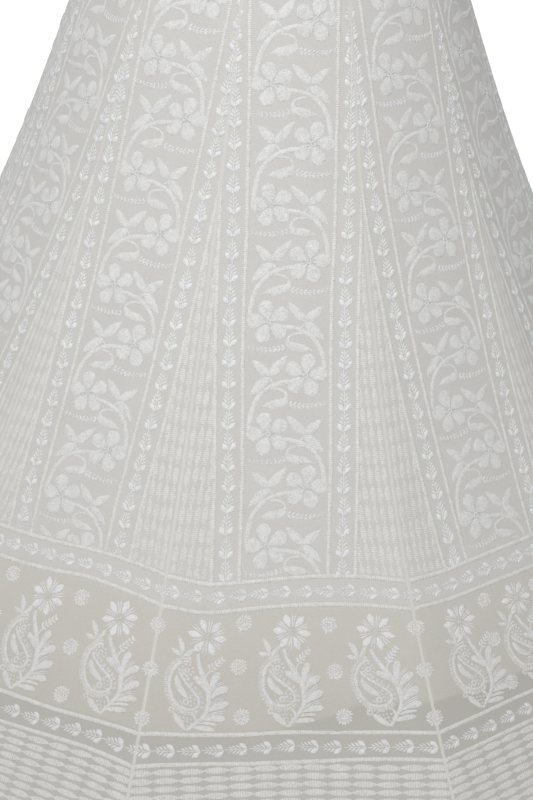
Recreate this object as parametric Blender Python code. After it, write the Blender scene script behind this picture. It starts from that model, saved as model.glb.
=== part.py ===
"""Chikankari lehenga skirt: twelve flared gores and a waistband, worn form, hollow and open at both ends.

Metres, +Z up. The origin is the centre of the waist, at half the height of the waistband.
The middle of gore 01 faces -Y at the hem.
"""

import math

import bmesh
import bpy
import numpy as np

# The whole skirt
GORES = 12
WAIST_RADIUS = 0.112
GORE_LENGTH = 1.122
CLOTH = 0.002
SEAM_GAP = 0.0003

# The waistband, a straight strip sewn into a ring
BAND_HEIGHT = 0.040
BAND_CLOTH = 0.003
BAND_EASE = 0.0005

# The bell: how far the cloth leans out, from the waist seam down to the hem
# (share of the gore's length, degrees from upright)
FLARE = (
    (0.000, 19.4),
    (0.345, 21.0),
    (0.595, 27.9),
    (0.844, 41.1),
    (1.000, 43.5),
)

# Each gore is a little flat between its seams, and its edges are cut straight across
FLATNESS = 0.022
HEM_DIP = 0.0105

# The skirt sits turned at the waist, and hangs straight from the knee down
WAIST_TURN = math.radians(6.7)
TURN_POWER = 3

# How finely the wall is divided
ROWS_DOWN = 16
ROWS_ACROSS = 8
BAND_SIDES = 48
CURVE_STEPS = 480
SHARP_FROM = math.radians(40)

CLOTH_COLOUR = (0.60, 0.58, 0.54, 1.0)
CLOTH_ROUGHNESS = 0.85
BAND_COLOUR = (0.57, 0.55, 0.51, 1.0)


def clear_scene():
    for thing in list(bpy.data.objects):
        bpy.data.objects.remove(thing, do_unlink=True)


def bell_curve():
    """Distance down the cloth, radius, height and lean of the bell, at even steps."""
    down = np.linspace(0.0, 1.0, CURVE_STEPS + 1)
    shares = [share for share, lean in FLARE]
    leans = np.radians([lean for share, lean in FLARE])
    lean = np.interp(down, shares, leans)
    step = GORE_LENGTH / CURVE_STEPS
    outward = np.sin((lean[1:] + lean[:-1]) / 2) * step
    downward = np.cos((lean[1:] + lean[:-1]) / 2) * step
    radius = WAIST_RADIUS + np.concatenate([[0.0], np.cumsum(outward)])
    top = -BAND_HEIGHT / 2 - SEAM_GAP
    height = top - np.concatenate([[0.0], np.cumsum(downward)])
    return down * GORE_LENGTH, radius, height, lean


CURVE = bell_curve()


def on_bell(distance):
    """Radius, height and lean at a distance down the cloth, carried on straight below the hem."""
    down, radius, height, lean = CURVE
    past = max(0.0, distance - GORE_LENGTH)
    here = min(distance, GORE_LENGTH)
    slope = float(np.interp(here, down, lean))
    return (
        float(np.interp(here, down, radius)) + past * math.sin(slope),
        float(np.interp(here, down, height)) - past * math.cos(slope),
        slope,
    )


def wall_point(number, across, distance, depth):
    """A point of a gore: across runs from -1 to 1 between its seams, depth is measured into the wall."""
    share = distance / GORE_LENGTH
    radius, height, lean = on_bell(distance + HEM_DIP * share**2 * across**2)
    radius *= 1 + FLATNESS * share * (across**2 - 1 / 3)
    half = math.pi / GORES
    turn = WAIST_TURN * (1 - share) ** TURN_POWER
    angle = number * 2 * half + turn + across * (half - SEAM_GAP / 2 / radius)
    # The wall's thickness runs along the bell's own normal, the same on both sides of a seam
    radius -= depth * math.cos(lean)
    height -= depth * math.sin(lean)
    return (radius * math.sin(angle), -radius * math.cos(angle), height)


def material(name, colour):
    made = bpy.data.materials.new(name)
    made.use_nodes = True
    shader = made.node_tree.nodes["Principled BSDF"]
    shader.inputs["Base Color"].default_value = colour
    shader.inputs["Roughness"].default_value = CLOTH_ROUGHNESS
    return made


def solid_object(name, mesh_points, mesh_faces, colour):
    mesh = bpy.data.meshes.new(name)
    mesh.from_pydata(mesh_points, [], mesh_faces)
    shape = bmesh.new()
    shape.from_mesh(mesh)
    bmesh.ops.recalc_face_normals(shape, faces=shape.faces)
    shape.to_mesh(mesh)
    shape.free()
    mesh.shade_smooth()
    mesh.set_sharp_from_angle(angle=SHARP_FROM)
    made = bpy.data.objects.new(name, mesh)
    made.data.materials.append(material(name, colour))
    bpy.context.scene.collection.objects.link(made)
    return made


def gore(number):
    """One gore: an outer and an inner grid of points, closed round their four edges."""
    points = []
    for depth in (0.0, CLOTH):
        for row in range(ROWS_DOWN + 1):
            distance = GORE_LENGTH * row / ROWS_DOWN
            for column in range(ROWS_ACROSS + 1):
                across = 2 * column / ROWS_ACROSS - 1
                points.append(wall_point(number, across, distance, depth))
    width = ROWS_ACROSS + 1
    layer = width * (ROWS_DOWN + 1)
    faces = []
    for row in range(ROWS_DOWN):
        for column in range(ROWS_ACROSS):
            first = row * width + column
            square = (first, first + 1, first + width + 1, first + width)
            faces.append(square)
            faces.append(tuple(corner + layer for corner in reversed(square)))
    rim = list(range(width))
    rim += [row * width + ROWS_ACROSS for row in range(1, ROWS_DOWN + 1)]
    rim += [ROWS_DOWN * width + column for column in reversed(range(ROWS_ACROSS))]
    rim += [row * width for row in reversed(range(1, ROWS_DOWN))]
    for here, after in zip(rim, rim[1:] + rim[:1]):
        faces.append((after, here, here + layer, after + layer))
    return solid_object(f"gore_{number + 1:02d}", points, faces, CLOTH_COLOUR)


def waistband():
    """A short upright ring that covers the top edges of the gores."""
    outer = WAIST_RADIUS + BAND_EASE
    profile = (
        (outer, -BAND_HEIGHT / 2),
        (outer, BAND_HEIGHT / 2),
        (outer - BAND_CLOTH, BAND_HEIGHT / 2),
        (outer - BAND_CLOTH, -BAND_HEIGHT / 2),
    )
    points = []
    for side in range(BAND_SIDES):
        angle = 2 * math.pi * side / BAND_SIDES
        points += [(r * math.sin(angle), -r * math.cos(angle), z) for r, z in profile]
    corners = len(profile)
    faces = []
    for side in range(BAND_SIDES):
        here = side * corners
        after = (side + 1) % BAND_SIDES * corners
        for corner in range(corners):
            up = (corner + 1) % corners
            faces.append((here + corner, after + corner, after + up, here + up))
    return solid_object("waistband", points, faces, BAND_COLOUR)


clear_scene()
for number in range(GORES):
    gore(number)
waistband()
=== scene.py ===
"""The looks of the chikankari lehenga skirt: thin cloth shells on its gores, and the thread work on them.

Metres, +Z up. A place on a gore is given flat, as the cloth was cut: how far across from the gore's
middle, and how far down from the waist seam. The motifs are drawn in millimetres, with y down.
"""

import math

import bpy
import numpy as np
from mathutils import Matrix, Vector


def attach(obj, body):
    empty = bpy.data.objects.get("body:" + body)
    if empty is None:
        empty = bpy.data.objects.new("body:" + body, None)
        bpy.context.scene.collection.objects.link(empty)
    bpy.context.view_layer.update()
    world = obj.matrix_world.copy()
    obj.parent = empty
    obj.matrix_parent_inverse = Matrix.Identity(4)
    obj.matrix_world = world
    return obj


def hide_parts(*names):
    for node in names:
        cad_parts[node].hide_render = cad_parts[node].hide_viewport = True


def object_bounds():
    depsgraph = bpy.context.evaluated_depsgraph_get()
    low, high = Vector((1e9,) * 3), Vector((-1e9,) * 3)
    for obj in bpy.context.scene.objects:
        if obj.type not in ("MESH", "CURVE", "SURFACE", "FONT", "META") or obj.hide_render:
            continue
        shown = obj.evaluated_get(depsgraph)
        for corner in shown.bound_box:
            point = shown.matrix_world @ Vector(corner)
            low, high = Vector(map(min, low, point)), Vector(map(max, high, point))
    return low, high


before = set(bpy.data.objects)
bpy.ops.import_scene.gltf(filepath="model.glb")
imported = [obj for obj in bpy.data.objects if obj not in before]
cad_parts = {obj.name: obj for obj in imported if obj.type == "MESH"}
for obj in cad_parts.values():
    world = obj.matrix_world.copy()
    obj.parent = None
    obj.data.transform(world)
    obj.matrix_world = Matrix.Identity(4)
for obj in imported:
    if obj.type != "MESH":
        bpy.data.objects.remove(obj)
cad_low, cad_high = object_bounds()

MM = 0.001

# The cut and the bell, as the solids have them
GORES = 12
WAIST_RADIUS = 0.112
GORE_LENGTH = 1.122
SEAM_GAP = 0.0003
BAND_HEIGHT = 0.040
BAND_CLOTH = 0.003
BAND_EASE = 0.0005
FLATNESS = 0.022
HEM_DIP = 0.0105
WAIST_TURN = math.radians(6.7)
TURN_POWER = 3
CURVE_STEPS = 480
HALF_GORE = math.pi / GORES
# Shares of the way down the cloth, and its lean from upright there, in degrees
FLARE = ((0.000, 19.4), (0.345, 21.0), (0.595, 27.9), (0.844, 41.1), (1.000, 43.5))

# The cloth shells, with closer columns at these distances from a seam
SHELL_ROWS = 84
SHELL_COLUMNS = 20
SHELL_CLOTH = 0.0006
SHELL_GAP = 0.00004
SEAM_COLUMNS = (0.0, 0.0012, 0.0028, 0.0055)
SEAM_SINK = 0.00025
SEAM_STRIP = 0.0015
SEAM_SOFT = 0.0018

# The soft folds: degrees round the skirt from gore 01, where the fold starts down the cloth, its half width
# in degrees, and how far it stands out. All are full at one distance
FOLDS_FULL = 1.12
FOLDS = (
    (-62.0, 0.30, 6.0, -0.0030),
    (-46.0, 0.42, 5.0, 0.0022),
    (-15.0, 0.38, 4.5, 0.0016),
    (15.5, 0.34, 4.5, 0.0018),
    (44.0, 0.40, 5.5, 0.0024),
    (58.0, 0.22, 6.5, -0.0032),
    (78.0, 0.25, 7.0, 0.0040),
    (101.0, 0.36, 6.0, -0.0034),
    (126.0, 0.20, 8.0, 0.0044),
    (149.0, 0.40, 6.0, -0.0030),
    (171.0, 0.28, 7.5, 0.0038),
    (196.0, 0.34, 6.5, -0.0036),
    (219.0, 0.22, 7.0, 0.0042),
    (243.0, 0.38, 6.0, -0.0030),
    (268.0, 0.26, 7.5, 0.0036),
    (284.0, 0.40, 5.5, -0.0026),
)

# Small dents low on the skirt: middle in degrees and down the cloth, half sizes, and how deep
DENTS = (
    (4.8, 0.999, 3.6, 0.017, -0.0032),
    (67.0, 1.012, 5.0, 0.024, -0.0036),
    (112.0, 0.990, 4.2, 0.020, -0.0034),
    (163.0, 1.006, 5.5, 0.026, -0.0040),
    (208.0, 0.984, 4.0, 0.018, -0.0030),
    (251.0, 1.010, 5.2, 0.024, -0.0038),
    (304.0, 1.000, 3.8, 0.018, -0.0030),
)

# The upright work on a gore: a strip of vines between two lines, then chains, then the fields' lines
THREAD_TOP = 0.003
FIELD_TOP = 0.24
STRIP_HALF = 0.0444
CHAIN_ACROSS = 0.0582
FIELD_ACROSS = 0.0718
LINE_HALF_MM = 2.3
LINE_STEP = 0.006

# The vines: the flowers' numbers, how far down they are, how many millimetres from the middle at distances
# down, and how far past the middle a branch ends
FLOWERS = range(-3, 6)
FIRST_FLOWER = 0.2859
FLOWER_PERIOD = 0.1215
PERIOD_CHANGE = -0.0057
LEFT_FLOWER_STEP = 0.52
FLOWER_ACROSS = ((0.30, 22.0), (0.50, 20.0), (0.62, 19.0), (0.80, 18.5))
BRANCH_END_MM = 38.5
# A branch as it is drawn: its width, and the step down to the next flower
BRANCH_WIDTH_MM = 57
BRANCH_STEP_MM = 60.4

# The upright chains, and how far they are from an even pitch at distances down
CHAIN_SPRIGS = 41
CHAIN_START_MM = 15.5
CHAIN_PITCH_MM = 20.8
CHAIN_WANDER = ((0.0, -12.0), (0.47, -4.0), (0.55, 3.0), (0.62, 3.5), (0.85, 3.5))

# The lozenges: their pitch across and along them, how much of one as drawn fills its place, and the layout
FIELD_PITCHES_MM = (7.5, 19.4)
HEM_PITCHES_MM = (7.75, 23.9)
LOZENGE_FILLS_MM = 19.6
FIELD_ROWS = range(12, 44)
FIELD_COLUMNS = 12
FIELD_START = 0.35
LOZENGE_TOP = 0.2
FIELD_MARGIN_MM = 2.2
HEM_ROWS = 12
HEM_START_MM = 6.3

# The lines of the bands, how they waver on a gore (half turns and millimetres), and the hem's line
BAND_LINES = (0.8447, 0.8717, 0.9955, 1.0251)
BAND_HALF_MM = 2.4
LINE_WAVES = ((2, 0.9), (3, 0.6))
HEM_LINE = 1.1165
HEM_HALF_MM = 2.6
# For each chain of a band: how far down, its pitch in millimetres, and its stretch
BAND_CHAINS = ((0.8585, 21.7, 0.88), (1.0108, 23.2, 1.0))

# The paisley band: the middle paisley's foot, the star over it, how the others lean out, and how far a hand
# turns stars and dots
PAISLEY_FOOT_MM = (-0.4, 990.8)
PAISLEY_PITCH_MM = 99.8
PAISLEY_TURN = 0.04
PAISLEY_SPLAY = 0.19
STAR_MM = (4.0, 897.5)
STAR_PITCH_MM = 83.0
STAR_TURN = 0.12
DOT_TURN = 0.4
# The round dots: how far down on the seams, and places between the paisleys
DOTS_MM = (
    (890.5, (-43.1, 886.0), (40.8, 891.0)),
    (933.0, (-48.8, 928.7), (46.5, 937.4)),
    (980.5, (-46.6, 977.5), (54.4, 981.5)),
)

# What each gore has of its own, from gore 01 on. Its vines are shifted down
VINE_SHIFTS_MM = (6.8, 2.3, -2.0, 3.0, 1.5, -3.5, 0.0, 2.5, -1.5, 3.5, -5.5, -10.0)
# Its left and right upright chains are shifted down
CHAIN_SHIFTS_MM = (
    (4.2, 6.9), (5.0, -12.0), (-2.0, 1.0), (3.0, 6.0), (1.5, 4.0), (-3.5, 0.5),
    (0.0, 3.0), (2.5, -1.0), (-1.5, 2.0), (3.5, 5.0), (-2.5, 0.0), (-4.2, -6.5),
)
# Its two level chains are shifted aside
BAND_ASIDES_MM = (
    (-6.4, -4.3), (-11.0, 3.0), (-3.0, -8.0), (2.0, 5.0), (-7.0, 0.0), (-1.0, -5.0),
    (4.0, 3.0), (-5.0, -9.0), (0.0, 2.0), (-8.0, -3.0), (3.0, -6.0), (-11.0, -15.0),
)
# Its paisleys are spread and shifted aside
PAISLEY_SPREADS = (1.0, 0.80, 0.94, 1.0, 0.97, 0.92, 1.0, 0.95, 1.0, 0.93, 0.98, 1.0)
PAISLEY_ASIDES_MM = (0.0, -9.0, 3.0, -2.0, 4.0, -3.0, 1.0, 3.0, -4.0, 2.0, -2.0, 0.0)
# All its upright work has drifted aside where it meets the bands, but for the front three gores
DRIFTS_MM = (0.0, 0.0, -1.0, 2.0, -2.4, 1.6, 0.8, -1.8, 2.2, -1.2, 1.0, 0.0)

# How far the upright work of the front three gores drifts aside: distances down, and millimetres
FRONT_DRIFTS = {
    11: (
        (0.30, -1), (0.40, -1), (0.50, -0.8), (0.56, 0), (0.65, 0.4), (0.74, 0.5), (0.79, 1.5),
        (0.82, 4), (0.845, 6),
    ),
    0: (
        (0.30, -1), (0.36, 0.2), (0.50, 0.8), (0.56, -0.9), (0.62, -1.2), (0.70, -0.6), (0.745, -0.5),
        (0.79, -1.8), (0.815, -2.7), (0.845, -3.5),
    ),
    1: (
        (0.30, 2.5), (0.40, 1.5), (0.47, 0.5), (0.60, 0.2), (0.70, 0.6), (0.745, 0), (0.79, -1.5),
        (0.845, -3.5),
    ),
}

# How far the four lines of the bands hang below their even place, in millimetres, every 5 degrees over
# the front three gores. From FRONT_REACH to FRONT_FADE degrees this gives way to even waves: how many
# there are round the skirt, their phase in degrees, and millimetres
FRONT_REACH = 45
FRONT_FADE = 65
LINE_SAGS = (
    (-4, -4, -3.5, -4, -5.5, -5, -3.5, 5, 4, 1.5, 0.5, 1.5, 4.5, 8, 6.5, 5, 5, 4, 3),
    (-2, -1.5, -1, -2.5, -5, -3, -1.5, 5.5, 3.5, 2, 1.5, 2, 5, 9, 9, 8, 7, 5, 4),
    (3, 4, 5, 5, 3.5, -1, -3, 2, 3, 0.3, 0, 0.3, 1, 2, 2, 2, 2, 1, 1),
    (3, 4, 4, 3.5, 1.5, -2, -2, -1, -1, -2, -1.3, -1, -2.5, -2, -2, -1, 0, 0, 0),
)
SIDE_WAVES = ((3, 50, 3.2), (7, 20, 2.2))
SAG_STARTS = 0.79
HEM_EASE = 0.006

# The lining's edge, seen through the cloth: degrees round the skirt, and millimetres above the second band
LINING_RISES = (
    (-180, 8), (-140, 16), (-95, 5), (-60, 2), (-1, 2), (1, 8), (4.2, 14), (5.6, 20), (7, 26),
    (13.5, 31), (18, 29), (25, 25), (45, 14), (80, 4), (125, 12), (180, 8),
)

# The threads: flat filled work, bright knotted work, lines of chain stitch, and the fields' soft filling
FLAT, BRIGHT, LINE, FILL = range(4)
# Millimetres: how far edges are sunk, the thinnest half width, and the smallest face that is kept
SINK = 0.18
THINNEST = 0.10
SMALLEST_FACE = 0.012
# How far a hand is off in placing a motif, in millimetres and radians
HAND_SHIFT = 0.35
HAND_TURN = 0.03
FIRST_SEED = 100
CHAIN_HAND = (HAND_SHIFT, 2 * HAND_TURN)
FILL_HAND = (HAND_SHIFT / 2, HAND_TURN / 2)

# The mango's looped edge from its top round its left side, and the stem from its foot up
PAISLEY_LOOP = (
    (-9, -66.5), (-14, -66.5), (-19, -63.5), (-23.5, -57.5), (-25.6, -50), (-25.2, -41.3), (-22.8, -33.5),
    (-18.8, -27), (-13.5, -22.8), (-6, -21), (1.6, -22.3), (6, -27), (5, -33),
    (0.5, -38), (-6.5, -43.5), (-13.5, -49.3), (-18.0, -54), (-19.6, -58),
)
PAISLEY_STEM = (
    (0, -0.6), (7.3, -9.5), (12.3, -16.3), (15.2, -23.8), (14.8, -33.8),
    (12.7, -42.5), (7.3, -51.3), (2.0, -60), (-3.0, -68.8), (-6.0, -77.5),
)

# Each thread: its name, its colour, the painted shade of its gaps and edges, the pitch of its stitches, its
# roughness, its sheen, and how strong the painted shade in its gaps is
THREADS = (
    ("flat_thread", (0.765, 0.765, 0.76), (0.43, 0.425, 0.40), 0.0012, 0.6, 0.2, 0.45),
    ("bright_thread", (0.85, 0.853, 0.865), (0.43, 0.43, 0.43), 0.0010, 0.5, 0.25, 0.45),
    ("line_thread", (0.72, 0.717, 0.70), (0.43, 0.42, 0.39), 0.0021, 0.65, 0.15, 0.34),
    ("fill_thread", (0.70, 0.695, 0.68), (0.43, 0.42, 0.39), 0.0020, 0.7, 0.15, 0.38),
)
# Painted shade: they go toward a grey near the hem, where the light falls off: the heights where this starts
# and is full, and how far it goes there
HEM_SHADE_RANGE = (-0.6, -0.98, 0.0, 0.24)
HEM_SHADE_GREY = (0.25, 0.24, 0.22, 1.0)

# The cloth's colours at distances down, over its lining and below the lining's edge, and between threads.
# Down the cloth the ground darkens: partly a darker, warmer ground in the bands, partly painted shade where
# the light falls off toward the hem. Below the lining's edge it is darker again: partly the single sheer
# layer, partly painted shade of the skirt's dark inside seen through it
WEAVE_PITCH = 0.0009
RAMP_LENGTH = 1.2
LINED = (
    (0.504, (0.595, 0.587, 0.566)),
    (BAND_LINES[1] - 0.0048, (0.550, 0.542, 0.516)),
    (BAND_LINES[1] + 0.0048, (0.532, 0.513, 0.477)),
    (BAND_LINES[2], (0.478, 0.459, 0.422)),
    (RAMP_LENGTH, (0.465, 0.453, 0.425)),
)
UNLINED = (
    (BAND_LINES[1], (0.430, 0.412, 0.380)),
    (BAND_LINES[2], (0.428, 0.411, 0.381)),
    (BAND_LINES[3], (0.440, 0.426, 0.398)),
    (RAMP_LENGTH, (0.460, 0.448, 0.420)),
)
LINING_SOFT = (-0.0025, 0.0035)
BETWEEN_THREADS = (0.25, 0.245, 0.225, 1.0)
# The pale strips along the seams, in the bands and above them
SEAM_IN_BANDS = (0.615, 0.600, 0.565, 1.0)
SEAM_IN_FIELDS = (0.635, 0.625, 0.60, 1.0)
SEAM_SHOWS = 0.72

# The waistband as it is made: points round it and round its section, how its outer face wavers, and how
# far it is from the marks on the gores' cloth
BAND_SIDES = 144
BAND_CORNERS = 20
BAND_WAVES = ((11, 0.0, 0.00025), (23, 1.0, 0.0002))
AWAY = 0.05

# The camera, as it stood to the skirt
SENSOR = 36.0
PHOTO_HEIGHT = 800
FOCAL_PIXELS = 1570
CAMERA_PLACE = Vector((-0.1213, -1.7533, 0.0734))
CAMERA_TURN = 0.0737
CAMERA_DOWN = 0.4719
CAMERA_ROLL = 0.0307

# The floor fades into the white room between these distances from the skirt's axis
FLOOR_FADE = (0.75, 1.36)
FLOOR_DROP = 0.02
FLOOR_SIDES = 96

# How white the room looks, its light from the left and right, and the soft lights: name, place, what each
# points at, size and power
ROOM_SEEN = 1.05
ROOM_SIDES = (0.705, 0.19)
ROOM_TINT = (0.99, 0.995, 1.0, 1.0)
LIGHTS = (
    ("front_light", (0.0, -2.6, 1.75), (0.0, -0.3, -0.5), 1.4, 55.5),
    ("top_light", (0.2, -0.8, 2.9), (0.05, -0.25, -0.7), 1.5, 36.0),
)


# The bell and the cloth on it


def bell_curve():
    """Distance down the cloth, radius, height and lean of the bell, at even steps."""
    down = np.linspace(0.0, 1.0, CURVE_STEPS + 1)
    shares = [share for share, lean in FLARE]
    leans = np.radians([lean for share, lean in FLARE])
    lean = np.interp(down, shares, leans)
    step = GORE_LENGTH / CURVE_STEPS
    outward = np.sin((lean[1:] + lean[:-1]) / 2) * step
    downward = np.cos((lean[1:] + lean[:-1]) / 2) * step
    radius = WAIST_RADIUS + np.concatenate([[0.0], np.cumsum(outward)])
    top = -BAND_HEIGHT / 2 - SEAM_GAP
    height = top - np.concatenate([[0.0], np.cumsum(downward)])
    return down * GORE_LENGTH, radius, height, lean


CURVE = bell_curve()


def on_bell(distance):
    """Radius, height and lean at distances down the cloth, carried on straight below the hem."""
    down, radius, height, lean = CURVE
    past = np.maximum(0.0, distance - GORE_LENGTH)
    here = np.minimum(distance, GORE_LENGTH)
    slope = np.interp(here, down, lean)
    out = np.interp(here, down, radius) + past * np.sin(slope)
    return out, np.interp(here, down, height) - past * np.cos(slope), slope


def half_width(distance):
    """Half the width of a gore, at distances down it."""
    return on_bell(distance)[0] * HALF_GORE


def eased(amount):
    """A smooth rise from 0 to 1, as the amount does."""
    held = np.clip(amount, 0.0, 1.0)
    return held * held * (3 - 2 * held)


def degrees_from(middle, angle):
    """Degrees round the skirt from a middle, from -180 to 180."""
    return (np.degrees(angle) - middle + 180.0) % 360.0 - 180.0


def folds_at(angle, distance):
    """How far the soft folds and dents move the cloth out, at angles round the skirt."""
    total = np.zeros_like(angle)
    for middle, start, half, height in FOLDS:
        away = degrees_from(middle, angle) / half
        total += height * eased((distance - start) / (FOLDS_FULL - start)) * np.exp(-(away**2))
    for middle, down, half, long_half, height in DENTS:
        away = degrees_from(middle, angle) / half
        total += height * np.exp(-(away**2) - ((distance - down) / long_half) ** 2)
    return total


def angle_round(number, across, distance):
    """Degrees round the skirt from the middle of gore 01."""
    side = across / half_width(distance)
    return degrees_from(0.0, (2 * number + side) * HALF_GORE)


def sag(number, across, distance):
    """How far the embroidery hangs below its even place, in metres."""
    angle = angle_round(number, across, distance)
    stops = (SAG_STARTS, *BAND_LINES, GORE_LENGTH)
    front = np.zeros_like(angle)
    for line, values in enumerate(LINE_SAGS):
        given = np.stack([np.linspace(-FRONT_REACH, FRONT_REACH, len(values)), values], axis=1)
        smooth = curve_through(given, 8 * len(values))
        share = np.interp(distance, stops, np.eye(len(stops))[line + 1])
        front += share * np.interp(angle, smooth[:, 0], smooth[:, 1])
    wander = sum(size * np.sin(np.radians(turns * angle + phase)) for turns, phase, size in SIDE_WAVES)
    wander = wander * eased((distance - SAG_STARTS) / (BAND_LINES[0] - SAG_STARTS))
    near = eased((FRONT_FADE - np.abs(angle)) / (FRONT_FADE - FRONT_REACH))
    return (front * near + wander * (1 - near)) * MM


def cloth_points(number, across, distance, lift):
    """Points on a gore's outer face, moved out by lift, in metres."""
    share = distance / GORE_LENGTH
    half = half_width(distance)
    side = across / half
    radius, height, lean = on_bell(distance + HEM_DIP * share**2 * side**2)
    radius = radius * (1 + FLATNESS * share * (side**2 - 1 / 3))
    turn = WAIST_TURN * (1 - share) ** TURN_POWER
    angle = number * 2 * HALF_GORE + turn + side * (HALF_GORE - SHELL_GAP / 2 / radius)
    from_seam = (half - np.abs(across)) / SEAM_SOFT
    out = lift + folds_at(angle, distance) - SEAM_SINK * np.exp(-(from_seam**2))
    radius = radius + out * np.cos(lean)
    height = height + out * np.sin(lean)
    return np.stack([radius * np.sin(angle), -radius * np.cos(angle), height], axis=1)


# Meshes


def new_object(name, data):
    made = bpy.data.objects.new(name, data)
    bpy.context.scene.collection.objects.link(made)
    return made


def mesh_object(name, points, faces, layers, materials, kinds=None):
    """A smooth mesh object. layers are its UV maps: a name and a pair of numbers for each point."""
    mesh = bpy.data.meshes.new(name)
    mesh.vertices.add(len(points))
    mesh.vertices.foreach_set("co", points.astype(np.float32).ravel())
    mesh.loops.add(faces.size)
    mesh.loops.foreach_set("vertex_index", faces.astype(np.int32).ravel())
    mesh.polygons.add(len(faces))
    mesh.polygons.foreach_set("loop_start", np.arange(0, faces.size, 4, dtype=np.int32))
    if kinds is not None:
        mesh.polygons.foreach_set("material_index", kinds.astype(np.int32))
    mesh.update(calc_edges=True)
    for layer_name, pairs in layers:
        layer = mesh.uv_layers.new(name=layer_name)
        layer.data.foreach_set("uv", pairs[faces.ravel()].astype(np.float32).ravel())
    mesh.shade_smooth()
    for material in materials:
        mesh.materials.append(material)
    return new_object(name, mesh)


def grid_faces(rows, columns, first=0):
    """Four-sided faces of a grid of rows x columns points."""
    row, column = np.mgrid[0 : rows - 1, 0 : columns - 1]
    corner = first + (row * columns + column).ravel()
    return np.stack([corner, corner + columns, corner + columns + 1, corner + 1], axis=1)


def gore_cloth(number, material):
    """One gore's cloth: an outer and an inner layer, closed round the four edges."""
    rows = np.linspace(0.0, GORE_LENGTH, SHELL_ROWS + 1)
    inner = np.linspace(-1.0, 1.0, SHELL_COLUMNS + 1)[1:-1]
    widths = half_width(rows)
    edges = np.array(SEAM_COLUMNS)
    reach = widths - edges[-1]
    left = -widths[:, None] + edges[None, :]
    right = widths[:, None] - edges[None, ::-1]
    across = np.concatenate([left, inner[None, :] * reach[:, None], right], axis=1)
    columns = across.shape[1]
    distance = np.repeat(rows, columns)
    flat = across.ravel()
    count = len(flat)
    layers = [cloth_points(number, flat, distance, lift) for lift in (0.0, -SHELL_CLOTH)]
    outer = grid_faces(len(rows), columns)
    inward = grid_faces(len(rows), columns, count)[:, ::-1]
    spots = np.arange(count).reshape(-1, columns)
    here = np.concatenate([spots[0], spots[1:, -1], spots[-1, -2::-1], spots[-2:0:-1, 0]])
    after = np.roll(here, -1)
    side = np.stack([here, after, after + count, here + count], axis=1)
    cut = np.stack([flat, distance - sag(number, flat, distance)], axis=1)
    rise_angles, rises = np.array(LINING_RISES).T
    lining = BAND_LINES[2] - np.interp(angle_round(number, flat, distance), rise_angles, rises) * MM
    edge = np.stack([half_width(distance) - np.abs(flat), cut[:, 1] - lining], axis=1)
    made = mesh_object(
        f"gore_{number + 1:02d}_cloth",
        np.concatenate(layers),
        np.concatenate([outer, inward, side]),
        [("cut", np.tile(cut, (2, 1))), ("edge", np.tile(edge, (2, 1)))],
        [material],
    )
    made.data.set_sharp_from_angle(angle=math.radians(50))
    return made


# Reliefs, the raised thread shapes, flat at first: points, how far each stands out, stitch places, faces
# and the thread of each face


def joined(reliefs):
    """Several reliefs as one."""
    starts = np.cumsum([0] + [len(relief["points"]) for relief in reliefs[:-1]])
    made = {key: np.concatenate([relief[key] for relief in reliefs]) for key in reliefs[0]}
    faces = [relief["faces"] + start for relief, start in zip(reliefs, starts)]
    return {**made, "faces": np.concatenate(faces)}


def directions(line):
    """Unit steps ahead along a line and to its right, with y down."""
    ahead = np.gradient(line, axis=0)
    ahead /= np.linalg.norm(ahead, axis=1)[:, None]
    return ahead, np.stack([-ahead[:, 1], ahead[:, 0]], axis=1)


def blade(spine, half_widths, height, thread, steps=5):
    """A domed shape along a line, sunk at its edges. The stitch map runs across it and along it."""
    spine = np.asarray(spine, float)
    half = np.maximum(np.broadcast_to(half_widths, len(spine)), THINNEST)
    beside = directions(spine)[1]
    across = np.sin(np.linspace(-1, 1, steps) * math.pi / 2)
    points = spine[:, None, :] + beside[:, None, :] * (half[:, None] * across[None, :])[:, :, None]
    crown = height * np.sqrt(half / half.max())
    dome = np.cos(np.linspace(-1, 1, steps) * math.pi / 2) ** 0.7
    lift = crown[:, None] * dome[None, :] - SINK * (np.abs(across) > 0.99)[None, :]
    along = np.concatenate([[0.0], np.cumsum(np.linalg.norm(np.diff(spine, axis=0), axis=1))])
    stitch = np.stack(np.broadcast_arrays(across[None, :], along[:, None]), axis=2)
    faces = grid_faces(len(spine), steps)
    return {
        "points": points.reshape(-1, 2),
        "lift": lift.ravel(),
        "stitch": stitch.reshape(-1, 2),
        "faces": faces,
        "kinds": np.full(len(faces), thread),
    }


def curve_through(points, count):
    """A smooth line through a few points, at even steps of its parameter."""
    given = np.asarray(points, float)
    before = np.vstack([2 * given[0] - given[1], given, 2 * given[-1] - given[-2]])
    spots = np.linspace(0, len(given) - 1, count)
    piece = np.minimum(spots.astype(int), len(given) - 2)
    part = (spots - piece)[:, None]
    a, b, c, d = (before[piece + offset] for offset in range(4))
    square = 2 * a - 5 * b + 4 * c - d
    cube = 3 * b - a - 3 * c + d
    return 0.5 * (2 * b + (c - a) * part + square * part**2 + cube * part**3)


def belly(count, widest=0.5, blunt=1.0):
    """Widths from 0 to 1 and back along a leaf, widest at that share of its length."""
    share = np.linspace(0, 1, count)
    return np.sin(math.pi * share ** (math.log(0.5) / math.log(widest))) ** blunt


def leaf(points, half_width_mm, thread=FLAT, widest=0.45, blunt=0.85, height=0.55, rows=8, steps=5):
    """A leaf along a smooth line through a few points."""
    spine = curve_through(points, rows)
    return blade(spine, half_width_mm * belly(rows, widest, blunt), height, thread, steps)


def turned(relief, angle=0.0, mirror=1, move=(0.0, 0.0), stretch=(1.0, 1.0)):
    """A copy of a relief, stretched, mirrored, turned and moved."""
    cosine, sine = math.cos(angle), math.sin(angle)
    matrix = np.array([[cosine, -sine], [sine, cosine]]) @ np.diag([mirror * stretch[0], stretch[1]])
    return {**relief, "points": relief["points"] @ matrix.T + np.asarray(move)}


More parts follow.
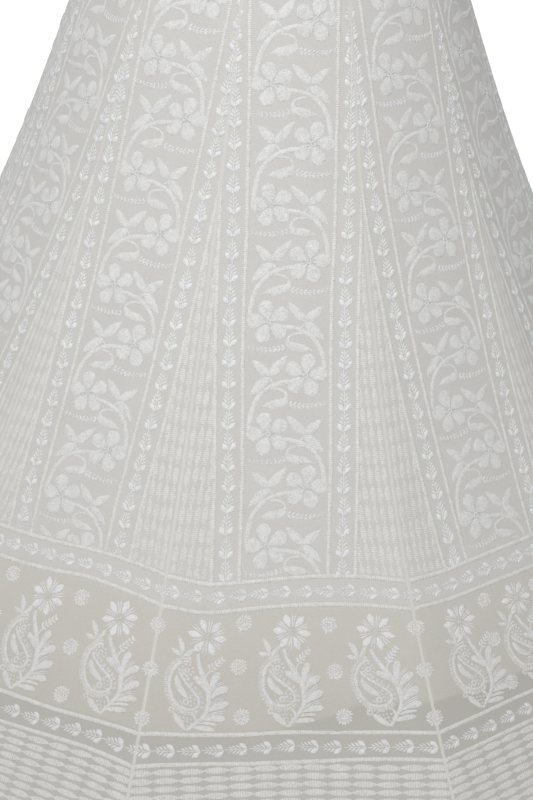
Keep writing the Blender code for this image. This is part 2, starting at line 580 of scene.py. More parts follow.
def petals(
    count, inner, outer, half, thread, first=0.0, widest=0.6, blunt=0.6, height=0.6, rows=8, steps=5
):
    """Petals in a ring, each from an inner to an outer radius."""
    one = leaf([(inner, 0), (outer, 0)], half, thread, widest, blunt, height, rows, steps)
    return [turned(one, first + 2 * math.pi * petal / count) for petal in range(count)]


def ring(radius, half, height, thread, sides=16):
    angle = np.linspace(0, 2 * math.pi, sides + 1)
    return blade(np.stack([np.cos(angle), np.sin(angle)], axis=1) * radius, half, height, thread, 3)


# The motifs, in millimetres, y down


def vine_flower():
    """Five broad petals with short rays between them, round a small ring."""
    first = math.radians(-77)
    made = petals(5, 2.6, 22.4, 9.0, FLAT, first, widest=0.64, blunt=0.45, height=0.2, rows=10, steps=6)
    made += petals(10, 2.6, 7.6, 0.5, LINE, first + math.pi / 10, height=0.95, rows=4, steps=3)
    made.append(ring(2.1, 0.7, 0.9, BRIGHT))
    return joined(made)


def bright_sprig():
    """A thin stem with pairs of small leaves, that sags below each flower."""
    stem = curve_through([(-17, 29), (-8, 31), (4, 31.5), (20, 29.5)], 14)
    made = [blade(stem, 0.6, 0.5, BRIGHT, 3)]
    pairs = 9
    for pair in range(pairs):
        share = pair / (pairs - 1)
        x = -17 + 35 * share
        y = 31.4 - 2.4 * (2 * share - 1) ** 2
        size = 4.9 - 1.9 * share
        for side in (-1, 1):
            tip = (x + 0.75 * size, y + side * 0.8 * size)
            made.append(leaf([(x, y), tip], 1.25 - 0.25 * share, BRIGHT, height=0.7, rows=4, steps=3))
    return joined(made)


def vine_branch():
    """The stem from one flower to the next, with three plain leaves and a curled one."""
    stem = curve_through([(-13, 6), (-22, 6.5), (-35, 11), (-46, 20), (-53, 33), (-56, 47), (-57, 57)], 22)
    made = [blade(stem, 2.9, 0.3, FLAT, 5)]
    made.append(leaf([(-30, 9), (-34, 5), (-37, 0.5)], 1.4, height=0.4, rows=5, steps=3))
    leaves = (
        # root, middle, tip, half width
        ((-37, 0), (-29, -9), (-18.5, -21.5), 6.0),
        ((-37, 0), (-44, -7), (-54, -17), 6.0),
        ((-36.5, 1), (-45, 9), (-56, 20.5), 6.2),
    )
    for *line, half in leaves:
        made.append(leaf(line, half, blunt=0.65, height=0.28, rows=9))
    # The curled leaf is thin, then fat, and rounds off at its tip
    curl = [(-35, 13), (-26, 14), (-20, 18), (-20.5, 25), (-29, 29), (-39, 30.5), (-48, 33.5)]
    share = np.linspace(0, 1, 18)
    widths = 1.5 + 4.2 * np.exp(-(((share - 0.66) / 0.2) ** 4))
    widths *= eased((1 - share) / 0.22) * 0.9 + 0.1
    made.append(blade(curve_through(curl, 18), widths, 0.3, FLAT, 5))
    return joined(made)


def chain_leaf():
    """One sprig of the leaf chains: a fat pair of leaves at its foot, and thin pairs up its stem."""
    made = [blade(curve_through([(0, 9.6), (0, 0), (0, -12.5)], 5), 0.6, 0.45, BRIGHT, 3)]
    pairs = (
        # foot of the pair, tip across, tip down, half width
        (9.6, 6.6, 1.6, 3.1),
        (3.4, 5.3, -2.0, 1.3),
        (-0.4, 4.4, -5.6, 1.2),
        (-3.8, 3.2, -8.8, 1.0),
    )
    for foot, tip_across, tip_down, half in pairs:
        for side in (-1, 1):
            middle = (side * tip_across * 0.52, foot * 0.53 + tip_down * 0.47)
            line = [(side * 0.2, foot), middle, (side * tip_across, tip_down)]
            rows, steps = (7, 4) if half > 1.5 else (6, 3)
            made.append(leaf(line, half, BRIGHT, 0.6, 0.8, height=0.8, rows=rows, steps=steps))
    return joined(made)


def lozenge():
    """One filled lozenge of the fields, its long way down. It is stretched to fill its place."""
    return leaf([(0, -10), (0, 10)], 0.5, FILL, 0.5, 0.5, height=0.25, steps=4)


def star():
    """Six bright pointed petals with pairs of thin lines between them, round a small ring."""
    made = petals(6, 4.6, 19.2, 4.1, BRIGHT, blunt=0.8, height=0.5, rows=9)
    for spread in (-0.09, 0.09):
        first = math.pi / 6 + spread
        made += petals(6, 3.0, 18.2, 0.85, BRIGHT, first, widest=0.7, blunt=0.3, rows=5, steps=3)
    made.append(ring(1.6, 0.6, 0.7, LINE, 10))
    return joined(made)


def round_dot():
    """A round cluster of short bright rays and knots."""
    hand = np.random.default_rng(5)
    rays = 15
    made = petals(rays, 0.6, 7.6, 1.0, LINE, widest=0.7, blunt=0.4, height=0.5, rows=4, steps=3)
    for number in range(rays):
        angle = 2 * math.pi * (number + 0.5 + hand.normal(0.0, 0.1)) / rays
        ray = leaf([(4.6, 0), (hand.uniform(8.0, 9.2), 0)], 1.2, BRIGHT, 0.6, 0.5, 0.7, 5, 3)
        made.append(turned(ray, angle))
    made += petals(8, 1.0, 4.2, 1.2, BRIGHT, blunt=0.5, height=0.75, rows=5, steps=3)
    made.append(leaf([(-1.4, 0), (1.4, 0)], 1.3, BRIGHT, 0.5, 0.5, 0.7, 5, 3))
    return joined(made)


def paisley():
    """A looped mango with a fringe, a stem on its right, and a fan of leaves. Its foot is at 0, 0."""
    loop_points, stem_points = 90, 40
    loop = curve_through(PAISLEY_LOOP, loop_points)
    stem = curve_through(PAISLEY_STEM, stem_points)
    share = np.linspace(0, 1, loop_points)
    loop_widths = np.interp(share, (0, 0.1, 0.45, 0.6, 0.9, 1), (1.3, 2.3, 2.2, 1.9, 1.9, 1.2))
    share = np.linspace(0, 1, stem_points)
    stem_widths = np.interp(share, (0, 0.2, 0.5, 0.75, 1), (1.7, 2.4, 3.2, 3.1, 1.9))
    made = [blade(loop, loop_widths, 0.5, FLAT, 5)]
    made += fringe(loop[2:56], 58, 1.2)
    made += fringe(loop[57:87], 21, 1.1)
    made += mango_inside()
    made.append(blade(stem, stem_widths, 0.6, FLAT, 5))
    made += foot_of_paisley()
    made += fan_leaves()
    top_leaves = (
        # root, middle, tip, half width
        ((-19.4, -70), (-21.5, -79), (-27, -88), 3.5),
        ((-19, -70.5), (-25, -72), (-31, -74), 3.0),
        ((-19, -69.5), (-14, -75), (-10, -81), 3.0),
    )
    made += [leaf(line, half, FLAT, 0.55, 0.6) for *line, half in top_leaves]
    made += small_sprig((8.5, -64), (20.6, -78))
    return joined(made)


def fringe(line, count, start):
    """Short stitches that stand out from a line, on its right where it runs down the page."""
    ahead, outward = directions(line)
    hand = np.random.default_rng(3)
    made = []
    for spot in np.linspace(0, len(line) - 1, count):
        here = int(round(spot))
        root = line[here] + outward[here] * start
        lean = ahead[here] * hand.normal(0.6, 0.4)
        tip = root + outward[here] * 4.8 * hand.uniform(0.8, 1.1) + lean
        made.append(leaf([root, tip], 0.95, LINE, 0.4, 0.5, 0.65, 5, 3))
    return made


def knots(places, half, slant=0.0):
    """Small round knots with their middles at these places."""
    made = []
    for across, down in places:
        ends = [(across - 1.5, down), (across + 1.5, down + slant)]
        made.append(leaf(ends, half, LINE, 0.5, 0.5, 0.6, 5, 3))
    return made


def mango_inside():
    """A broad leaf that ends in a ring, knots beside it, a rosette at the top, a side leaf and a tendril."""
    made = [leaf([(-20.5, -51), (-17, -42), (-11, -36), (-4.5, -31.5)], 3.9, FLAT, 0.45, 0.5, 0.5, 10)]
    made.append(turned(ring(2.4, 1.3, 0.6, FLAT, 12), move=(-6, -27.5)))
    places = (
        (-1.5, -30), (1.5, -32.5), (-0.5, -25.8), (2.3, -28.6), (-11.5, -26.4), (-3.5, -34.5),
        (-1.6, -35.8), (2.2, -25.2), (-2.6, -33), (-9.6, -24.4),
    )
    made += knots(places, 1.3)
    rosette = [ring(2.0, 1.2, 0.6, FLAT, 12)] + petals(9, 3.4, 7.2, 1.5, LINE, rows=5, steps=3)
    made += [turned(piece, move=(-11.5, -58.5)) for piece in rosette]
    made.append(leaf([(-5, -55), (3, -50), (13.5, -41)], 3.6, FLAT, 0.36, 0.5, 0.5, 9))
    tendril = curve_through([(9.7, -64), (6.7, -57), (9.2, -50), (14, -44)], 12)
    made.append(blade(tendril, 1.3, 0.5, FLAT, 3))
    return made


def foot_of_paisley():
    """Two leaves over the foot, a small ring, and knots between them."""
    made = [leaf([(-15, -14.5), (-8, -7.5), (0.5, -0.5)], 3.5, FLAT, 0.4, 0.5, 0.5, 9)]
    made.append(leaf([(1.5, -20), (6, -14.5), (8, -8.5)], 1.9, FLAT, 0.5, 0.4))
    made.append(turned(ring(2.2, 1.3, 0.6, LINE, 12), move=(-17.5, -16.5)))
    places = (
        (-13, -17.5), (-10, -16), (-7, -17), (-4, -16), (-9, -12.6), (-5, -12.8), (-1.5, -13), (-1, -17.2),
        (-4, -9.2), (-0.5, -9.6), (2.8, -12.6), (0.6, -6), (3.8, -8.8),
    )
    return made + knots(places, 1.25, 0.4)


def fan_leaves():
    """Paddle-shaped leaves that fan out to the right of the stem, with two thin lines over three of them."""
    leaves = (
        # root on the stem, middle, tip, half width, how far along it is widest
        ((13.5, -38), (14.8, -51), (18.5, -64.0), 4.5, 0.76),
        ((14.5, -33), (20.5, -43.5), (31.0, -50.5), 4.6, 0.74),
        ((15, -22), (22.5, -29.5), (34.0, -36), 4.7, 0.73),
        ((12, -14.5), (23.5, -18.6), (34.5, -20), 3.9, 0.7),
        ((9.5, -10.5), (18, -12.6), (28, -13), 1.9, 0.6),
        ((5, -5.5), (15, -7), (26.5, -7.5), 3.2, 0.6),
    )
    made = []
    for number, (root, middle, tip, half, widest) in enumerate(leaves):
        line = curve_through([root, middle, tip], 14)
        made.append(blade(line, half * belly(14, widest, 0.4), 0.45, FLAT, 7))
        if number in (1, 2, 3):
            for gap in (half + 1.7, half + 4.0):
                made.append(blade(set_aside(line, gap)[1:-1], 0.62 * belly(12, 0.5, 0.25), 0.7, BRIGHT, 3))
    return made


def set_aside(line, gap):
    """A line that starts close to another and runs that far to its left, with y down."""
    right = directions(line)[1]
    return line - right * (gap * np.linspace(0.1, 1, len(line)) ** 0.6)[:, None]


def small_sprig(root, tip):
    """A short bright sprig between two points."""
    root, tip = np.array(root, float), np.array(tip, float)
    ahead = (tip - root) / np.linalg.norm(tip - root)
    beside = np.array([-ahead[1], ahead[0]])
    made = [blade(curve_through([root, tip], 5), 0.6, 0.6, BRIGHT, 3)]
    pairs = 5
    for pair in range(pairs):
        foot = root + (tip - root) * pair / pairs
        for side in (-1, 1):
            end = foot + ahead * 3.4 + beside * side * (5.0 - 0.5 * pair)
            made.append(leaf([foot, end], 1.35, BRIGHT, height=0.75, rows=5, steps=3))
    return made


# The layout on one gore


def clipped(relief, top, bottom, margin=SHELL_GAP):
    """The relief cut off near the seams and at two distances down, in metres, with its cut edges sunk."""
    across, down = relief["points"].T
    held_down = np.clip(down, top / MM, bottom / MM)
    reach = (half_width(held_down * MM) - margin) / MM
    held_across = np.clip(across, -reach, reach)
    moved = (held_down != down) | (held_across != across)
    points = np.stack([held_across, held_down], axis=1)
    corners = points[relief["faces"]]
    after = np.roll(corners, -1, axis=1)
    area = (corners[:, :, 0] * after[:, :, 1] - after[:, :, 0] * corners[:, :, 1]).sum(axis=1) / 2
    kept = np.abs(area) > SMALLEST_FACE
    faces = relief["faces"][kept]
    backward = area[kept] > 0
    faces[backward] = faces[backward][:, ::-1]
    lift = np.where(moved, -SINK, relief["lift"])
    return {**relief, "points": points, "lift": lift, "faces": faces, "kinds": relief["kinds"][kept]}


def half_mm(down_mm):
    """Half the width of a gore at millimetres down it, in millimetres."""
    return half_width(down_mm * MM) / MM


def between(table, down_mm):
    """The value at millimetres down, in a table of distances in metres and values."""
    return np.interp(down_mm * MM, *np.array(table, float).T)


def drift(number, down_mm):
    """How far the upright work of a gore has moved aside, in millimetres, at millimetres down it."""
    if number in FRONT_DRIFTS:
        return between(FRONT_DRIFTS[number], down_mm)
    return DRIFTS_MM[number] * (down_mm * MM / BAND_LINES[0]) ** 2


def drifted(relief, number):
    """The relief moved aside, as it drifts from the waist down to the band."""
    across, down = relief["points"].T
    return {**relief, "points": np.stack([across + drift(number, down), down], axis=1)}


def without_loose(relief):
    """The relief with only the points that its faces use."""
    used, numbers = np.unique(relief["faces"], return_inverse=True)
    kept = {key: relief[key][used] for key in ("points", "lift", "stitch")}
    return {**relief, **kept, "faces": numbers.reshape(relief["faces"].shape)}


def flower_down(number):
    """How far down the flower of that number is, in metres. Whole numbers are on the right."""
    return FIRST_FLOWER + FLOWER_PERIOD * number + PERIOD_CHANGE * number**2 / 4


def laid(motif, places, hand, angle=0.0, stretch=(1.0, 1.0), off=CHAIN_HAND):
    """Copies of a motif at places, each a little aside and a little turned."""
    made = []
    for place in places:
        moved = np.asarray(place) + hand.normal(0.0, off[0], 2)
        made.append(turned(motif, angle + hand.normal(0.0, off[1]), 1, moved, stretch))
    return made


def level_places(down, pitch, aside=0.0):
    """Places across a gore at an even pitch, to past its seams."""
    reach = int(half_mm(down) / pitch) + 1
    return [(pitch * number + aside, down) for number in range(-reach, reach + 1)]


def vines(shift, hand):
    """Flowers on the right and left by turns, each with a sprig and the branch to the next one."""
    made = []
    for number in FLOWERS:
        for step, side in ((0.0, 1), (LEFT_FLOWER_STEP, -1)):
            here = flower_down(number + step) + shift
            after = flower_down(number + (LEFT_FLOWER_STEP if side > 0 else 1.0)) + shift
            stretch = (after - here) / MM / BRANCH_STEP_MM
            across = float(between(FLOWER_ACROSS, here / MM))
            widened = (across + BRANCH_END_MM) / BRANCH_WIDTH_MM
            place = (side * across, here / MM)
            sway = hand.normal(0.0, HAND_TURN)
            made.append(turned(VINE_BRANCH, 0.0, side, place, (widened, stretch)))
            made.append(turned(BRIGHT_SPRIG, sway / 2, side, place, (1.0, stretch)))
            made.append(turned(VINE_FLOWER, sway, side, place + hand.normal(0.0, HAND_SHIFT, 2)))
    return clipped(joined(made), THREAD_TOP, BAND_LINES[0] - 0.002)


def upright_chains(number, hand):
    """The chains of leaf sprigs on both sides of the strip."""
    made = []
    for side, shift in zip((-1, 1), CHAIN_SHIFTS_MM[number]):
        downs = CHAIN_START_MM + CHAIN_PITCH_MM * np.arange(CHAIN_SPRIGS) + shift
        downs += between(CHAIN_WANDER, downs)
        made += laid(CHAIN_LEAF, [(side * CHAIN_ACROSS / MM, down) for down in downs], hand)
    return clipped(joined(made), THREAD_TOP, BAND_LINES[0] - 0.001)


def field(number, hand):
    """Columns of lozenges along the seams, tip to tip and level with each other, cut off at the chains."""
    sides = []
    pitch, long_pitch = FIELD_PITCHES_MM
    stretch = (pitch, long_pitch / LOZENGE_FILLS_MM)
    for side in (-1, 1):
        made = []
        for row in FIELD_ROWS:
            down = long_pitch * (row + FIELD_START)
            half, further = half_mm(np.array([down, down + 1.0]))
            columns = half - FIELD_MARGIN_MM - pitch * (np.arange(FIELD_COLUMNS) + 0.5)
            kept = columns[columns >= FIELD_ACROSS / MM + side * drift(number, down)]
            places = [(side * across, down) for across in kept]
            angle = -side * math.atan(further - half)
            made += laid(LOZENGE, places, hand, angle, stretch, FILL_HAND)
        relief = joined(made)
        across, down = relief["points"].T
        held = np.maximum(side * across, FIELD_ACROSS / MM + side * drift(number, down))
        lift = np.where(held > side * across, -SINK, relief["lift"])
        sides.append({**relief, "points": np.stack([side * held, down], axis=1), "lift": lift})
    return clipped(joined(sides), LOZENGE_TOP, BAND_LINES[0] - 0.003, SEAM_GAP)


def upright_line(across, top):
    """A line of chain stitch down to the bands."""
    rows = int((BAND_LINES[0] - top) / LINE_STEP)
    down = np.linspace(top, BAND_LINES[0], rows) / MM
    spine = np.stack([np.full(rows, across / MM), down], axis=1)
    return clipped(blade(spine, LINE_HALF_MM, 0.55, LINE), top, BAND_LINES[0])


def level_line(distance, hand, half=BAND_HALF_MM):
    """A line across a gore that wavers a little between its seams."""
    side = np.linspace(-1, 1, 60)
    across = side * (half_mm(distance / MM) + 1.0)
    waves = [hand.normal(0.0, size) * np.sin(math.pi * turns * (side + 1) / 2) for turns, size in LINE_WAVES]
    spine = np.stack([across, distance / MM + sum(waves)], axis=1)
    return clipped(blade(spine, half, 0.55, LINE), distance - 0.01, distance + 0.01)


def level_chain(distance, pitch, stretch, aside, hand):
    """A chain of leaf sprigs across a gore, each turned to point left."""
    places = level_places(distance / MM, pitch, aside)
    made = laid(CHAIN_LEAF, places, hand, -math.pi / 2, (stretch, 1.0))
    return clipped(joined(made), distance - 0.02, distance + 0.02)


def paisley_band(number, hand):
    """Three paisleys with a star over each, and round dots between them and on the seams."""
    made = []
    spread, aside = PAISLEY_SPREADS[number], PAISLEY_ASIDES_MM[number]
    foot_across, foot_down = PAISLEY_FOOT_MM
    for column in (-1, 0, 1):
        across = PAISLEY_PITCH_MM * column * spread + aside + foot_across
        foot = np.array([across, foot_down]) + hand.normal(0.0, HAND_SHIFT, 2)
        made.append(turned(PAISLEY, PAISLEY_TURN - PAISLEY_SPLAY * column, 1, foot))
        across = STAR_PITCH_MM * column * (1 + spread) / 2 + aside + STAR_MM[0]
        made.append(turned(STAR, hand.normal(0.0, STAR_TURN), 1, (across, STAR_MM[1])))
    for on_seam, *inside in DOTS_MM:
        half = half_mm(on_seam)
        places = [(-half, on_seam), (half, on_seam)]
        places += [(across * spread + aside, down) for across, down in inside]
        made += [turned(ROUND_DOT, hand.uniform(0, DOT_TURN), 1, place) for place in places]
    return clipped(joined(made), BAND_LINES[1] + 0.001, BAND_LINES[2] - 0.001)


def hem_field(hand):
    """Rows of lozenges laid across, in line with each other, down to the hem's line."""
    made = []
    pitch, long_pitch = HEM_PITCHES_MM
    stretch = (pitch, long_pitch / LOZENGE_FILLS_MM)
    for row in range(HEM_ROWS):
        places = level_places(BAND_LINES[3] / MM + HEM_START_MM + pitch * row, long_pitch)
        made += laid(LOZENGE, places, hand, math.pi / 2, stretch, FILL_HAND)
    return clipped(joined(made), BAND_LINES[3], HEM_LINE, SEAM_GAP)


VINE_FLOWER = vine_flower()
BRIGHT_SPRIG = bright_sprig()
VINE_BRANCH = vine_branch()
CHAIN_LEAF = chain_leaf()
LOZENGE = lozenge()
STAR = star()
ROUND_DOT = round_dot()
PAISLEY = paisley()


def gore_thread(number, materials):
    """All the thread work of one gore."""
    hand = np.random.default_rng(FIRST_SEED + number)
    strip = [vines(VINE_SHIFTS_MM[number] * MM, hand)]
    strip += [upright_line(side * STRIP_HALF, THREAD_TOP) for side in (-1, 1)]
    strip.append(upright_chains(number, hand))
    strip += [upright_line(side * FIELD_ACROSS, FIELD_TOP) for side in (-1, 1)]
    parts = [clipped(drifted(joined(strip), number), THREAD_TOP, BAND_LINES[0]), field(number, hand)]
    parts += [level_line(distance, hand) for distance in BAND_LINES]
    parts.append(level_line(HEM_LINE, hand, HEM_HALF_MM))
    parts += [level_chain(*chain, aside, hand) for chain, aside in zip(BAND_CHAINS, BAND_ASIDES_MM[number])]
    parts += [paisley_band(number, hand), hem_field(hand)]
    relief = without_loose(joined(parts))
    across, down = (relief["points"] * MM).T
    down = down + sag(number, across, down) * eased((GORE_LENGTH - down) / HEM_EASE)
    return mesh_object(
        f"gore_{number + 1:02d}_thread",
        cloth_points(number, across, down, relief["lift"] * MM),
        relief["faces"],
        [("stitch", relief["stitch"] * (1.0, MM))],
        materials,
        relief["kinds"],
    )


# Materials


class Nodes:
    """The nodes of a material or a world, and short ways to add to them."""

    def __init__(self, owner):
        owner.use_nodes = True
        self.tree = owner.node_tree

    def feed(self, sockets, values):
        """Links outputs to sockets, or sets the sockets to plain values."""
        for socket, value in zip(sockets, values):
            if hasattr(value, "is_output"):
                self.tree.links.new(value, socket)
            else:
                socket.default_value = value

    def add(self, kind, **inputs):
        made = self.tree.nodes.new(kind)
        self.feed([made.inputs[key.replace("_", " ")] for key in inputs], inputs.values())
        return made

    def maths(self, operation, first, second=0.0):
        made = self.add("ShaderNodeMath")
        made.operation = operation
        self.feed(made.inputs, (first, second))
        return made.outputs[0]

    def mixed(self, amount, first, second):
        made = self.add("ShaderNodeMix")
        made.data_type = "RGBA"
        self.feed([made.inputs[index] for index in (0, 6, 7)], (amount, first, second))
        return made.outputs[2]

    def ranged(self, value, start, end, first=0.0, last=1.0, smooth=False):
        """A value carried from one range to another, and held at its ends."""
        made = self.add("ShaderNodeMapRange")
        made.interpolation_type = "SMOOTHSTEP" if smooth else "LINEAR"
        self.feed(made.inputs, (value, start, end, first, last))
        return made.outputs[0]

    def parts(self, vector):
        """The three numbers of a vector."""
        return self.add("ShaderNodeSeparateXYZ", Vector=vector).outputs

    def uv_map(self, name):
        made = self.add("ShaderNodeUVMap")
        made.uv_map = name
        return made.outputs[0]

    def place(self, kind):
        return self.add("ShaderNodeTexCoord").outputs[kind]

    def noise(self, vector, scale, detail):
        return self.add("ShaderNodeTexNoise", Vector=vector, Scale=scale, Detail=detail).outputs["Fac"]

    def waves(self, place, pitch, wander):
        """A sine along a place, a wave for each pitch, that wanders."""
        turns = self.maths("MULTIPLY", place, 2 * math.pi / pitch)
        return self.maths("SINE", self.maths("ADD", turns, wander))

    def ramp(self, distance, stops):
        """Colours at distances down the cloth."""
        made = self.add("ShaderNodeValToRGB", Fac=self.maths("DIVIDE", distance, RAMP_LENGTH))
        elements = made.color_ramp.elements
        for index, (place, colour) in enumerate(stops):
            element = elements[index] if index < 2 else elements.new(place / RAMP_LENGTH)
            element.position = place / RAMP_LENGTH
            element.color = (*colour, 1.0)
        return made.outputs[0]


def new_material(name):
    """A material, its nodes and its shader."""
    made = bpy.data.materials.new(name)
    nodes = Nodes(made)
    return made, nodes, nodes.tree.nodes["Principled BSDF"]


def finish_shader(nodes, shader, colour, roughness, gloss, sheen, bump):
    """Sets a cloth's or a thread's shader. The bump is its height, strength and distance."""
    height, strength, distance = bump
    made = nodes.add("ShaderNodeBump", Height=height, Strength=strength, Distance=distance)
    keys = ("Base Color", "Roughness", "Specular IOR Level", "Sheen Weight", "Normal")
    values = (colour, roughness, gloss, sheen, made.outputs[0])
    nodes.feed([shader.inputs[key] for key in keys], values)


def cloth_material():
    """Georgette: a crinkled weave, a ground with painted shade toward the hem and below the lining's edge,
    and pale seam strips.
    """
    made, nodes, shader = new_material("ivory_georgette")
    maths = nodes.maths
    cut = nodes.uv_map("cut")
    across, down = nodes.parts(cut)[:2]
    from_seam, from_lining = nodes.parts(nodes.uv_map("edge"))[:2]
    crinkle = nodes.noise(cut, 620.0, 2.0)
    slub = nodes.noise(cut, 26.0, 3.0)
    wander = maths("MULTIPLY", crinkle, 3.0)
    warp, weft = (nodes.waves(place, WEAVE_PITCH, wander) for place in (across, down))
    weave = maths("MULTIPLY", maths("ADD", warp, weft), 0.25)
    # Painted shade: the ground darkens toward the hem, and below the lining's edge for the dark inside seen
    # through
    unlined = nodes.ranged(from_lining, *LINING_SOFT, smooth=True)
    ground = nodes.mixed(unlined, nodes.ramp(down, LINED), nodes.ramp(down, UNLINED))
    mottle = maths("ADD", maths("MULTIPLY", slub, 0.16), maths("MULTIPLY", crinkle, 0.5))
    amount = maths("ADD", maths("MULTIPLY", weave, 0.12), maths("SUBTRACT", mottle, 0.25))
    woven = nodes.mixed(amount, ground, BETWEEN_THREADS)
    at_seam = nodes.ranged(from_seam, SEAM_STRIP + 0.0003, SEAM_STRIP - 0.0003, 0.0, SEAM_SHOWS)
    in_fields = nodes.ranged(down, BAND_LINES[0], BAND_LINES[0] - 0.08)
    strip = nodes.mixed(in_fields, SEAM_IN_BANDS, SEAM_IN_FIELDS)
    colour = nodes.mixed(at_seam, woven, strip)
    height = maths("ADD", weave, maths("MULTIPLY", crinkle, 0.8))
    finish_shader(nodes, shader, colour, 0.85, 0.2, 0.15, (height, 0.35, 0.0003))
    return made


def thread_material(name, colour, shaded, pitch, roughness, sheen, gap_shade):
    """Thread laid side by side across a shape, with fine gaps, and painted shade in those gaps, at the
    shape's edges and toward the hem.
    """
    made, nodes, shader = new_material(name)
    maths = nodes.maths
    across, along = nodes.parts(nodes.uv_map("stitch"))[:2]
    place = nodes.place("Object")
    uneven = nodes.noise(place, 430.0, 2.0)
    patchy = nodes.noise(place, 170.0, 2.0)
    grain = nodes.noise(place, 900.0, 1.0)
    lines = nodes.waves(along, pitch, maths("MULTIPLY", uneven, 5.0))
    gaps = maths("MAXIMUM", maths("MULTIPLY", lines, -1.0), 0.0)
    # Painted shade: the gaps between stitches and each shape's edge, where thread meets cloth, go toward the
    # shaded colour
    side = maths("POWER", maths("ABSOLUTE", across), 7.0)
    shade_and_specks = maths("ADD", maths("MULTIPLY", gaps, gap_shade), maths("MULTIPLY", side, 0.9))
    specks = maths("ADD", maths("MULTIPLY", patchy, 0.7), maths("MULTIPLY", grain, 1.5))
    shade_and_specks = maths("ADD", shade_and_specks, maths("SUBTRACT", specks, 1.0))
    amount = maths("MINIMUM", maths("MAXIMUM", shade_and_specks, 0.0), 1.0)
    threads = nodes.mixed(amount, (*colour, 1.0), (*shaded, 1.0))
    # Painted shade: the threads go grey toward the hem, where the light falls off
    hem_shade = nodes.ranged(nodes.parts(place)[2], *HEM_SHADE_RANGE)
    height = maths("ADD", lines, maths("MULTIPLY", uneven, 1.2))
    colour = nodes.mixed(hem_shade, threads, HEM_SHADE_GREY)
    finish_shader(nodes, shader, colour, roughness, 0.3, sheen, (height, 0.5, 0.00025))
    return made


# The waistband


def waistband(material):
    """A straight strip of doubled cloth sewn into a ring, slightly soft along its edges."""
    middle = WAIST_RADIUS + BAND_EASE - BAND_CLOTH / 2
    around = np.linspace(0, 2 * math.pi, BAND_CORNERS, endpoint=False)
    depth = np.sign(np.cos(around)) * np.abs(np.cos(around)) ** 0.5 * BAND_CLOTH / 2
    rise = np.sign(np.sin(around)) * np.abs(np.sin(around)) ** 0.25 * BAND_HEIGHT / 2
    angle = np.linspace(0, 2 * math.pi, BAND_SIDES, endpoint=False)
    sway = sum(size * np.sin(turns * angle + phase) for turns, phase, size in BAND_WAVES)
    radius = middle + depth[None, :] - np.abs(sway)[:, None] * (depth > 0)[None, :]
    sine, cosine = np.sin(angle)[:, None], np.cos(angle)[:, None]
    level = np.broadcast_to(rise[None, :], radius.shape)
    points = np.stack([radius * sine, -radius * cosine, level], axis=2).reshape(-1, 3)
    row, column = np.mgrid[0:BAND_SIDES, 0:BAND_CORNERS]
    here, after = row * BAND_CORNERS, (row + 1) % BAND_SIDES * BAND_CORNERS
    up = (column + 1) % BAND_CORNERS
    faces = np.stack([here + column, after + column, after + up, here + up], axis=2).reshape(-1, 4)
    # Its cloth is plain: high on the cut, away from every seam, and above the lining's edge
    cut = np.stack([np.repeat(angle * middle, BAND_CORNERS), np.tile(rise, BAND_SIDES) + AWAY], axis=1)
    edge = np.tile((AWAY, -AWAY), (len(cut), 1))
    return mesh_object("waistband_cloth", points, faces, [("cut", cut), ("edge", edge)], [material])


# Studio


def floor():
    """A pale floor just under the hem, that fades into the room."""
    mesh = bpy.data.meshes.new("floor")
    angles = np.linspace(0, 2 * math.pi, FLOOR_SIDES, endpoint=False)
    reach = FLOOR_FADE[1]
    rim = [(reach * math.cos(angle), reach * math.sin(angle), 0.0) for angle in angles]
    mesh.from_pydata(rim, [], [range(FLOOR_SIDES)])
    made = new_object("floor", mesh)
    made.location = (0.0, 0.0, cad_low.z - FLOOR_DROP)
    material, nodes, shader = new_material("pale_floor")
    shader.inputs["Base Color"].default_value = (0.9, 0.9, 0.9, 1.0)
    shader.inputs["Roughness"].default_value = 0.9
    away = nodes.add("ShaderNodeVectorMath")
    away.operation = "LENGTH"
    nodes.feed(away.inputs, [nodes.place("Object")])
    fade = nodes.ranged(away.outputs["Value"], *FLOOR_FADE, 1.0, 0.0, smooth=True)
    nodes.feed([shader.inputs["Alpha"]], [fade])
    mesh.materials.append(material)


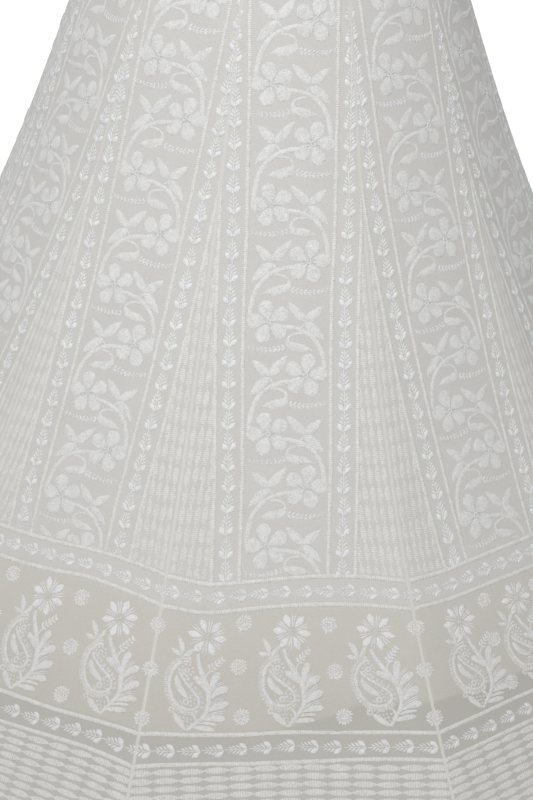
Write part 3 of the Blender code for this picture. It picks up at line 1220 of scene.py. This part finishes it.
def room():
    """A room that is white to the camera and lights the skirt more from the left than from the right."""
    world = bpy.data.worlds.new("white_room")
    nodes = Nodes(world)
    bpy.context.scene.world = world
    seen = nodes.tree.nodes["Background"]
    seen.inputs[0].default_value = (1.0, 1.0, 1.0, 1.0)
    seen.inputs[1].default_value = ROOM_SEEN
    side = nodes.parts(nodes.place("Generated"))[0]
    strength = nodes.ranged(side, -1.0, 1.0, *ROOM_SIDES)
    lighting = nodes.add("ShaderNodeBackground", Color=ROOM_TINT, Strength=strength)
    mix = nodes.add("ShaderNodeMixShader")
    to_camera = nodes.add("ShaderNodeLightPath").outputs["Is Camera Ray"]
    nodes.feed(mix.inputs, (to_camera, lighting.outputs[0], seen.outputs[0]))
    nodes.feed(nodes.tree.nodes["World Output"].inputs, [mix.outputs[0]])
    bpy.context.scene.view_settings.view_transform = "Standard"


def soft_light(name, place, target, size, power):
    """A square light that points at a target."""
    data = bpy.data.lights.new(name, "AREA")
    data.size = size
    data.energy = power
    light = new_object(name, data)
    light.location = place
    light.rotation_euler = (Vector(target) - Vector(place)).to_track_quat("-Z", "Y").to_euler()


def camera():
    """The photo's view: from in front of the skirt and above it, looking down."""
    data = bpy.data.cameras.new("camera")
    data.sensor_width = SENSOR
    data.lens = FOCAL_PIXELS * SENSOR / PHOTO_HEIGHT
    made = new_object("camera", data)
    upright = Vector((0.0, 0.0, 1.0))
    level_ahead = Vector((math.sin(CAMERA_TURN), math.cos(CAMERA_TURN), 0.0))
    level_right = Vector((math.cos(CAMERA_TURN), -math.sin(CAMERA_TURN), 0.0))
    ahead = level_ahead * math.cos(CAMERA_DOWN) - upright * math.sin(CAMERA_DOWN)
    above = level_ahead * math.sin(CAMERA_DOWN) + upright * math.cos(CAMERA_DOWN)
    right = level_right * math.cos(CAMERA_ROLL) + above * math.sin(CAMERA_ROLL)
    up = above * math.cos(CAMERA_ROLL) - level_right * math.sin(CAMERA_ROLL)
    turn = Matrix((right, up, -ahead)).transposed()
    made.matrix_world = Matrix.Translation(CAMERA_PLACE) @ turn.to_4x4()
    bpy.context.scene.camera = made


camera()
floor()
room()
for light in LIGHTS:
    soft_light(*light)
georgette = cloth_material()
threads = [thread_material(*thread) for thread in THREADS]

for number in range(GORES):
    node = f"gore_{number + 1:02d}"
    cloth = gore_cloth(number, georgette)
    thread = gore_thread(number, threads)
    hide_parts(node)
    for piece in (cloth, thread):
        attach(piece, "root")

band = waistband(georgette)
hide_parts("waistband")
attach(band, "root")
